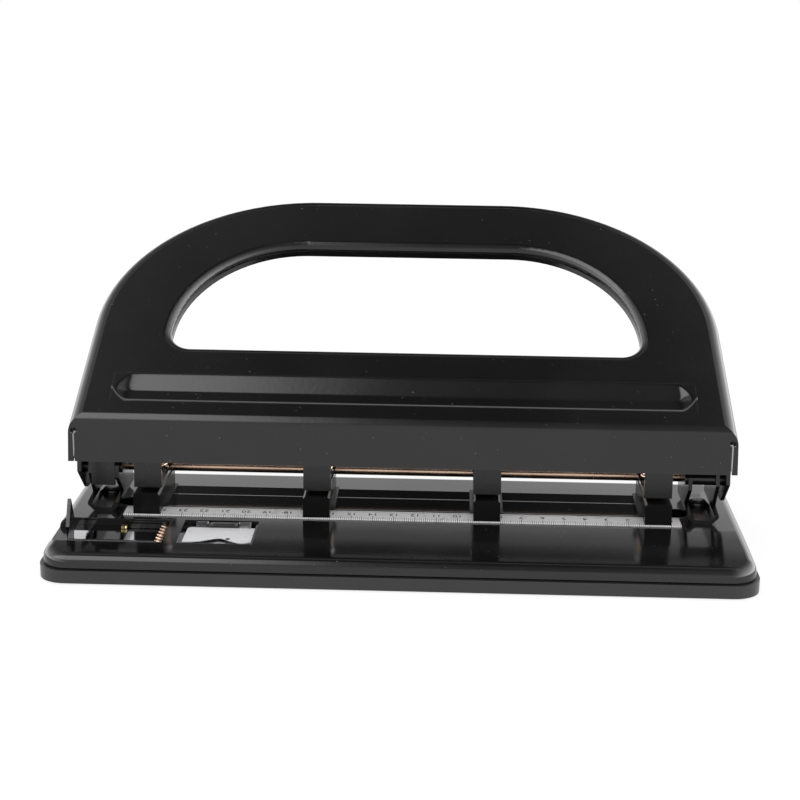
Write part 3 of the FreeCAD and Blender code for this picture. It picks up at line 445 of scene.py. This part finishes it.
def rulerFigures(look):
    # one figure for each centimetre, counted leftwards, turned to read from behind the ruler
    low, high = (np.array(corner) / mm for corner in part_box("ruler_strip"))
    points, faces, count = [], [], 0
    for number in range(look["last"] + 1):
        across = look["zeroAt"] - look["every"] * number
        text = bpy.data.curves.new("figure", "FONT")
        text.body = str(number)
        text.size = look["height"] / look["heightShare"]
        text.align_x, text.align_y = "CENTER", "CENTER"
        text.extrude = look["proud"] / 2
        text.resolution_u = 3
        holder = bpy.data.objects.new("figure", text)
        bpy.context.scene.collection.objects.link(holder)
        bpy.context.view_layer.update()
        solved = holder.evaluated_get(bpy.context.evaluated_depsgraph_get())
        made = bpy.data.meshes.new_from_object(solved)
        flat = np.zeros(len(made.vertices) * 3)
        made.vertices.foreach_get("co", flat)
        flat = flat.reshape(-1, 3) * (-1, -1, 1)   # half a turn about the upright axis
        points.append(flat + (across, low[1] + look["middle"], high[2] + look["proud"] / 2 + look["over"]))
        made.calc_loop_triangles()
        corners = np.zeros(len(made.loop_triangles) * 3, int)
        made.loop_triangles.foreach_get("vertices", corners)
        faces.append(corners.reshape(-1, 3) + count)
        count += len(flat)
        bpy.data.objects.remove(holder)
        bpy.data.curves.remove(text)
        bpy.data.meshes.remove(made)
    newPiece("rulerFigures", np.vstack(points), np.vstack(faces), "base", finishes["black_steel"],
             False)


rulerFigures(figureLook)
print("ruler figures made")

grooveLook = {
    "bendY": -45.258,
    "bendZ": 67.0,
    "lean": 34.0,
    "low": 11.2,
    "high": 27.4,
    "shoulder": 127.6,
    "tip": 134.4,
    "flankFall": 0.225,
    "sillRise": 0.262,
    "stepAt": 17.6,
    "stepDepth": 1.68,
    "stepFall": 0.75,
    "endFall": 0.50,
    "endBlend": 3.2,
    "underShift": 0.6,
    "sillBlend": 0.12,
    "flankBlend": 0.22,
    "cornerBlend": 0.55,
    "rimBlend": 0.16,
    "margin": 0.7,
    "sunk": 0.05,
    "sunkOver": 0.5,
    "sheet": 0.33,
    "sheetFrom": 0.5,
    "skin": 0.02,
    "bead": 0.07,
    "beadHalf": 0.7,
    "beadAbove": 0.4,
    "curlPower": 1.6,
    "curlShare": 0.9,
    # half width of the painted highlight line along the bead
    "highlightHalf": 0.42,
    "endRows": (6.0, 70),
    "middleRows": (6.5, 36),
    "lowColumns": (1.1, 2.4, 56),
    "middleColumns": (2.9, 2.2, 14),
    "topColumns": (2.0, 20),
}


def leaned(across, up, out, look):
    # points drawn flat on the handle's plate, leaned back to where the plate stands
    angle = math.radians(look["lean"])
    return np.stack([across, look["bendY"] + up * math.cos(angle) - out * math.sin(angle),
                     look["bendZ"] + up * math.sin(angle) + out * math.cos(angle)], -1)


def grooveSkin(look):
    # depth at (x, v) is the least of a long flank falling from the top edge, a sill rising to the bottom
    # edge after a short step, and two slanting ends, all eased together; a low bead runs along the bottom
    # edge and curls up round the ends, and the border sinks into the plate
    low, high, step, shoulder = look["low"], look["high"], look["stepAt"], look["shoulder"]
    reach = look["tip"] + look["margin"]
    before, count = look["endRows"]
    ends = np.linspace(shoulder - before, reach, count)
    before, count = look["middleRows"]
    across = np.concatenate([-ends[::-1], np.linspace(-shoulder + before, shoulder - before, count), ends])
    below, above, count = look["lowColumns"]
    columns = [np.linspace(low - below, step + above, count)]
    above, below, count = look["middleColumns"]
    columns.append(np.linspace(step + above, high - below, count))
    below, count = look["topColumns"]
    columns.append(np.linspace(high - below, high + look["margin"], count))
    x, v = np.meshgrid(across, np.concatenate(columns), indexing="ij")
    flank = look["flankFall"] * (high - v)
    sill = softHigh(look["sillRise"] * (v - low), look["stepDepth"] + look["stepFall"] * (v - step),
                    look["sillBlend"])
    run, rise = look["tip"] - shoulder, (high - low) / 2
    slant = math.hypot(run, rise)
    over = ((shoulder - abs(x)) * rise + (high - v) * run) / slant
    under = ((shoulder + look["underShift"] - abs(x)) * rise + (v - low) * run) / slant
    end = look["endFall"] * softLow(over, under, look["endBlend"])
    depth = softLow(softLow(flank, sill, look["flankBlend"]), end, look["cornerBlend"])
    depth = softHigh(depth, 0.0, look["rimBlend"])
    alongEnd = np.clip((look["tip"] - abs(x)) / run, 0.0, 1.0)
    fromBead = v - low - rise * (1 - alongEnd) ** look["curlPower"] * look["curlShare"]
    bead = look["bead"] * np.exp(-((fromBead / look["beadHalf"]) ** 2)) * (depth < look["beadAbove"])
    inward = np.minimum(np.minimum(reach - abs(x), v - v.min()), v.max() - v)
    sunk = (look["skin"] + look["sunk"]) * (1 - np.clip(inward / look["sunkOver"], 0.0, 1.0))
    out = look["skin"] + bead - depth - sunk
    inside = np.clip(depth / look["sheetFrom"], 0.0, 1.0)
    top = leaned(x, v, out, look)
    bottom = leaned(x, v, out - look["skin"] - bead - look["sheet"] * inside, look)
    points, faces = closedSheet(top, bottom)
    # painted highlight: a bright line along the bead, standing in for its shine
    highlightMask = np.exp(-((fromBead / look["highlightHalf"]) ** 2)).ravel()
    newPiece("grooveSkin", points, faces, "handle", highlightedEnamel, True, np.tile(highlightMask, 2))


grooveSkin(grooveLook)
print("groove skin made")

windowLook = {
    "left": -98.9,
    "right": -66.9,
    "rear": -39.9,
    "low": 12.95,
    "thick": 0.5,
    "corner": 2.2,
    "waveAt": (-98.9, -96.9, -92.1, -87.8, -82.3, -77.2, -72.4, -67.1, -66.9),
    "waveY": (-59.6, -59.8, -58.9, -56.4, -53.2, -57.6, -60.8, -58.9, -58.3),
    "smooth": 19,
    "hole": (-78.5, -55.6, 1.1),
    "tabs": ((-95.5, -89.7), (-75.5, -69.7)),
    "tabY": (-40.7, -36.5),
    "tabRise": (13.25, 15.2),
    "tabThick": 0.45,
    "bar": ((-89.4, -40.4, 12.95), (-75.8, -36.45, 15.1)),
    "barPower": 0.35,
    "plateGrid": (90, 12),
    "dotRise": (0.01, 0.05),
    "dotPoints": 32,
    "tabGrid": (8, 14),
    "barGrid": (6, 40),
}


def closedRings(rings, centres):
    # rings of points joined in order into a tube, each end closed by triangles round its centre point
    count, around = rings.shape[:2]
    index = np.arange(around)
    after = np.roll(index, -1)
    row = np.arange(count - 1)[:, None] * around
    last, total = (count - 1) * around, count * around
    near = np.stack([index + row, after + row, after + row + around], -1).reshape(-1, 3)
    far = np.stack([index + row, after + row + around, index + row + around], -1).reshape(-1, 3)
    start = np.stack([after, index, np.full(around, total)], -1)
    end = np.stack([index + last, after + last, np.full(around, total + 1)], -1)
    return np.concatenate([rings.reshape(-1, 3), centres]), np.concatenate([near, far, start, end])


def windowPlate(look):
    # a flat pale plate between two curves of x: its front edge is a smooth wave through the given
    # points, and its rear corners are rounded
    rows, columns = look["plateGrid"]
    x = np.linspace(look["left"], look["right"], rows)
    front = np.interp(x, look["waveAt"], look["waveY"])
    weight = np.hanning(look["smooth"] + 2)[1:-1]
    front = np.convolve(np.pad(front, look["smooth"] // 2, "edge"), weight / weight.sum(), "valid")
    inset = np.minimum(x - look["left"], look["right"] - x)
    reach = np.clip(1.0 - inset / look["corner"], 0.0, 1.0)
    rear = look["rear"] - look["corner"] * (1.0 - np.sqrt(1.0 - reach ** 2))
    y = front[:, None] + (rear - front)[:, None] * np.linspace(0.0, 1.0, columns)[None, :]
    level = np.full(y.shape, look["low"] + look["thick"])
    top = np.stack([np.repeat(x[:, None], columns, 1), y, level], -1)
    points, faces = closedSheet(top, top - (0.0, 0.0, look["thick"]))
    plate = newPiece("windowPlate", points, faces, "base", finishes["pale_paint"], False)
    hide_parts("format_plate")


def windowDot(look):
    # a low dark disc on the plate
    across, along, radius = look["hole"]
    turn = np.linspace(0.0, 2 * math.pi, look["dotPoints"] + 1)[:-1]
    level = look["low"] + look["thick"]
    flat = np.zeros(turn.size)
    ring = np.stack([across + radius * np.cos(turn), along + radius * np.sin(turn), flat], -1)
    rings = np.stack([ring + (0, 0, level + rise) for rise in look["dotRise"]])
    middle = np.array([[across, along, level + rise] for rise in look["dotRise"]])
    points, faces = closedRings(rings, middle)
    newPiece("windowDot", points, faces, "base", finishes["black_steel"], False)


def windowTabs(look):
    # two strips that curl up toward the rear: height follows a quarter sine of the way back
    made = []
    low, high = look["tabRise"]
    front, rear = look["tabY"]
    rows, columns = look["tabGrid"]
    for left, right in look["tabs"]:
        across, share = np.meshgrid(np.linspace(left, right, rows), np.linspace(0.0, 1.0, columns),
                                    indexing="ij")
        height = low + (high - low) * np.sin(share * math.pi / 2)
        top = np.stack([across, front + (rear - front) * share, height], -1)
        made.append(closedSheet(top, top - (0.0, 0.0, look["tabThick"])))
    points = np.vstack([piece[0] for piece in made])
    faces = np.vstack([piece[1] + len(made[0][0]) * order for order, piece in enumerate(made)])
    tabs = newPiece("windowTabs", points, faces, "base", finishes["zinc_steel"])
    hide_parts("window_tabs")


def windowBar(look):
    # a bar along x whose cross-section is a superellipse in y and z, closed by its two end faces
    low, high = (np.array(corner) for corner in look["bar"])
    rows, around = look["barGrid"]
    turn = np.linspace(0.0, 2 * math.pi, around + 1)[:-1]
    middle, half = (low + high) / 2, (high - low) / 2
    y = middle[1] + half[1] * np.sign(np.cos(turn)) * abs(np.cos(turn)) ** look["barPower"]
    z = middle[2] + half[2] * np.sign(np.sin(turn)) * abs(np.sin(turn)) ** look["barPower"]
    x = np.linspace(low[0], high[0], rows)
    rings = np.stack([np.repeat(x, around), np.tile(y, rows), np.tile(z, rows)], -1)
    centres = np.array([[end, middle[1], middle[2]] for end in (low[0], high[0])])
    points, faces = closedRings(rings.reshape(rows, around, 3), centres)
    newPiece("windowBar", points, faces, "base", finishes["black_enamel"])


windowPlate(windowLook)
windowDot(windowLook)
windowTabs(windowLook)
windowBar(windowLook)
print("window pieces made")

gaugeLook = {
    "left": -149.9,
    "right": -109.9,
    "front": -64.25,
    "deep": 0.4,
    "low": 12.1,
    "high": 14.95,
    "grid": (30, 4),
}


def gaugeEdge(look):
    # the strip's turned-up front edge: a thin upright sheet along x
    rows, columns = look["grid"]
    x, z = np.meshgrid(np.linspace(look["left"], look["right"], rows),
                       np.linspace(look["low"], look["high"], columns), indexing="ij")
    top = np.stack([x, np.full(x.shape, look["front"]), z], -1)
    points, faces = closedSheet(top, top + (0.0, look["deep"], 0.0))
    newPiece("gaugeEdge", points, faces, "gauge", finishes["bright_chrome"], False)


gaugeEdge(gaugeLook)
print("gauge edge made")

stageLook = {
    "floorSize": 8.0,
    "floor": (0.86, 0.86, 0.86),
    "floorRough": 0.9,
    "glowNear": 0.80,
    "glowFar": 1.0,
    "glowReach": (0.22, 0.75),
    "glowLevel": 1.04,
    "lamps": (
        ("overhead", (-0.4, -0.6, 1.6), (0.0, 0.0, 0.05), 1.3, 9.0),
        ("right", (1.5, -0.3, 1.0), (0.0, 0.0, 0.08), 1.0, 4.0),
        ("front", (0.1, -1.3, 0.85), (0.0, -0.03, 0.02), 0.8, 8.0),
    ),
    "worldDiffuse": 0.75,
    "horizon": 1.0,
    "behindStops": ((0.0, 1.0), (0.3165, 0.95), (0.3225, 0.48), (0.337, 0.32), (0.36, 0.23), (0.376, 0.22),
                    (0.388, 0.42), (0.398, 0.24), (0.408, 0.10), (0.418, 0.03), (0.86, 0.03), (0.905, 0.55),
                    (0.935, 0.5), (0.965, 0.22), (0.982, 0.07), (1.0, 0.05)),
    "aheadStops": ((0.0, 1.0), (0.34, 0.9), (0.46, 0.40), (0.9, 0.24), (0.965, 0.17), (0.985, 0.07),
                   (1.0, 0.05)),
    "turnOver": (-0.03, 0.03),
    "sides": (5.5, 3.4),
    "sidePower": 2.0,
    "softbox": 3.3,
    "softboxAcross": (-0.155, -0.035),
    "softboxBack": (-0.24, -0.10),
    "softboxUp": (0.35, 0.6),
}


def makeFloor():
    # white paper that glows toward its far parts and keeps a faint shadow under the object
    half = stageLook["floorSize"] / 2
    mesh = bpy.data.meshes.new("floor")
    corners = [(-half, -half, 0), (half, -half, 0), (half, half, 0), (-half, half, 0)]
    mesh.from_pydata(corners, [], [(0, 1, 2, 3)])
    floor = bpy.data.objects.new("floor", mesh)
    bpy.context.scene.collection.objects.link(floor)
    material, tree, shader, coords = startFinish("floorPaper")
    shader.inputs["Base Color"].default_value = (*stageLook["floor"], 1.0)
    shader.inputs["Roughness"].default_value = stageLook["floorRough"]
    shader.inputs["Specular IOR Level"].default_value = 0.0
    glow = tree.nodes.new("ShaderNodeEmission")
    glow.inputs["Strength"].default_value = stageLook["glowLevel"]
    path = tree.nodes.new("ShaderNodeLightPath")
    mix = tree.nodes.new("ShaderNodeMixShader")
    seen = calculate(tree, "MAXIMUM", path.outputs["Is Camera Ray"], path.outputs["Is Glossy Ray"])
    seen = calculate(tree, "MAXIMUM", seen, path.outputs["Is Transmission Ray"])
    distance = tree.nodes.new("ShaderNodeVectorMath")
    distance.operation = "LENGTH"
    join(tree, coords, distance.inputs[0])
    amount = between(tree, distance.outputs["Value"], *stageLook["glowReach"], stageLook["glowNear"],
                     stageLook["glowFar"], "SMOOTHSTEP")
    join(tree, calculate(tree, "MULTIPLY", seen, amount), mix.inputs[0])
    join(tree, shader.outputs[0], mix.inputs[1])
    join(tree, glow.outputs[0], mix.inputs[2])
    join(tree, mix.outputs[0], tree.nodes["Material Output"].inputs["Surface"])
    mesh.materials.append(material)


def makeLamps():
    # soft disks that light the shading only; the shine comes from the world
    for name, place, aim, size, power in stageLook["lamps"]:
        data = bpy.data.lights.new(name, "AREA")
        data.shape = "DISK"
        data.size = size
        data.energy = power
        lamp = bpy.data.objects.new(name, data)
        bpy.context.scene.collection.objects.link(lamp)
        lamp.visible_glossy = False
        lamp.location = place
        lamp.rotation_mode = "QUATERNION"
        lamp.rotation_quaternion = (Vector(aim) - Vector(place)).to_track_quat("-Z", "Y")


def heightRamp(tree, height, stops):
    ramp = tree.nodes.new("ShaderNodeValToRGB")
    join(tree, height, ramp.inputs["Fac"])
    while len(ramp.color_ramp.elements) < len(stops):
        ramp.color_ramp.elements.new(0.5)
    for element, (place, level) in zip(ramp.color_ramp.elements, stops):
        element.position = place
        element.color = (level, level, level, 1.0)
    return ramp.outputs["Color"]


def makeWorld():
    # white to the camera, plain grey for shading, and for reflections a white horizon under a dark ceiling,
    # brighter toward both sides, with a soft window high on the left in front
    world = bpy.data.worlds.new("studio")
    bpy.context.scene.world = world
    world.use_nodes = True
    tree = world.node_tree
    tree.nodes.clear()
    coords = tree.nodes.new("ShaderNodeTexCoord")
    split = tree.nodes.new("ShaderNodeSeparateXYZ")
    join(tree, coords.outputs["Generated"], split.inputs["Vector"])
    x, y, z = (split.outputs[axis] for axis in "XYZ")
    behind = between(tree, y, *stageLook["turnOver"], 0.0, 1.0)
    level = tint(tree, behind, heightRamp(tree, z, stageLook["aheadStops"]),
                 heightRamp(tree, z, stageLook["behindStops"]))
    right, left = stageLook["sides"]
    for sign, strength in ((1.0, right), (-1.0, left)):
        toward = calculate(tree, "MAXIMUM", calculate(tree, "MULTIPLY", x, sign), 0.0)
        toward = calculate(tree, "POWER", toward, stageLook["sidePower"])
        level = calculate(tree, "MULTIPLY_ADD", toward, strength, level)
    softbox = between(tree, x, *stageLook["softboxAcross"], stageLook["softbox"], 0.0, "SMOOTHSTEP")
    back = between(tree, y, *stageLook["softboxBack"], 1.0, 0.0, "SMOOTHSTEP")
    upward = between(tree, z, *stageLook["softboxUp"], 0.0, 1.0, "SMOOTHSTEP")
    softbox = calculate(tree, "MULTIPLY", calculate(tree, "MULTIPLY", softbox, back), upward)
    level = calculate(tree, "ADD", level, softbox)
    path = tree.nodes.new("ShaderNodeLightPath")
    plain, shiny, white = (tree.nodes.new("ShaderNodeBackground") for each in range(3))
    for ground in (plain, shiny, white):
        ground.inputs["Color"].default_value = (1, 1, 1, 1)
    plain.inputs["Strength"].default_value = stageLook["worldDiffuse"]
    white.inputs["Strength"].default_value = stageLook["horizon"]
    join(tree, level, shiny.inputs["Strength"])
    first = tree.nodes.new("ShaderNodeMixShader")
    second = tree.nodes.new("ShaderNodeMixShader")
    glossy = calculate(tree, "MAXIMUM", path.outputs["Is Glossy Ray"],
                       path.outputs["Is Transmission Ray"])
    join(tree, glossy, first.inputs[0])
    join(tree, plain.outputs[0], first.inputs[1])
    join(tree, shiny.outputs[0], first.inputs[2])
    join(tree, path.outputs["Is Camera Ray"], second.inputs[0])
    join(tree, first.outputs[0], second.inputs[1])
    join(tree, white.outputs[0], second.inputs[2])
    output = tree.nodes.new("ShaderNodeOutputWorld")
    join(tree, second.outputs[0], output.inputs["Surface"])


makeFloor()
makeLamps()
makeWorld()
print("floor, lamps and world made")

bpy.context.view_layer.update()
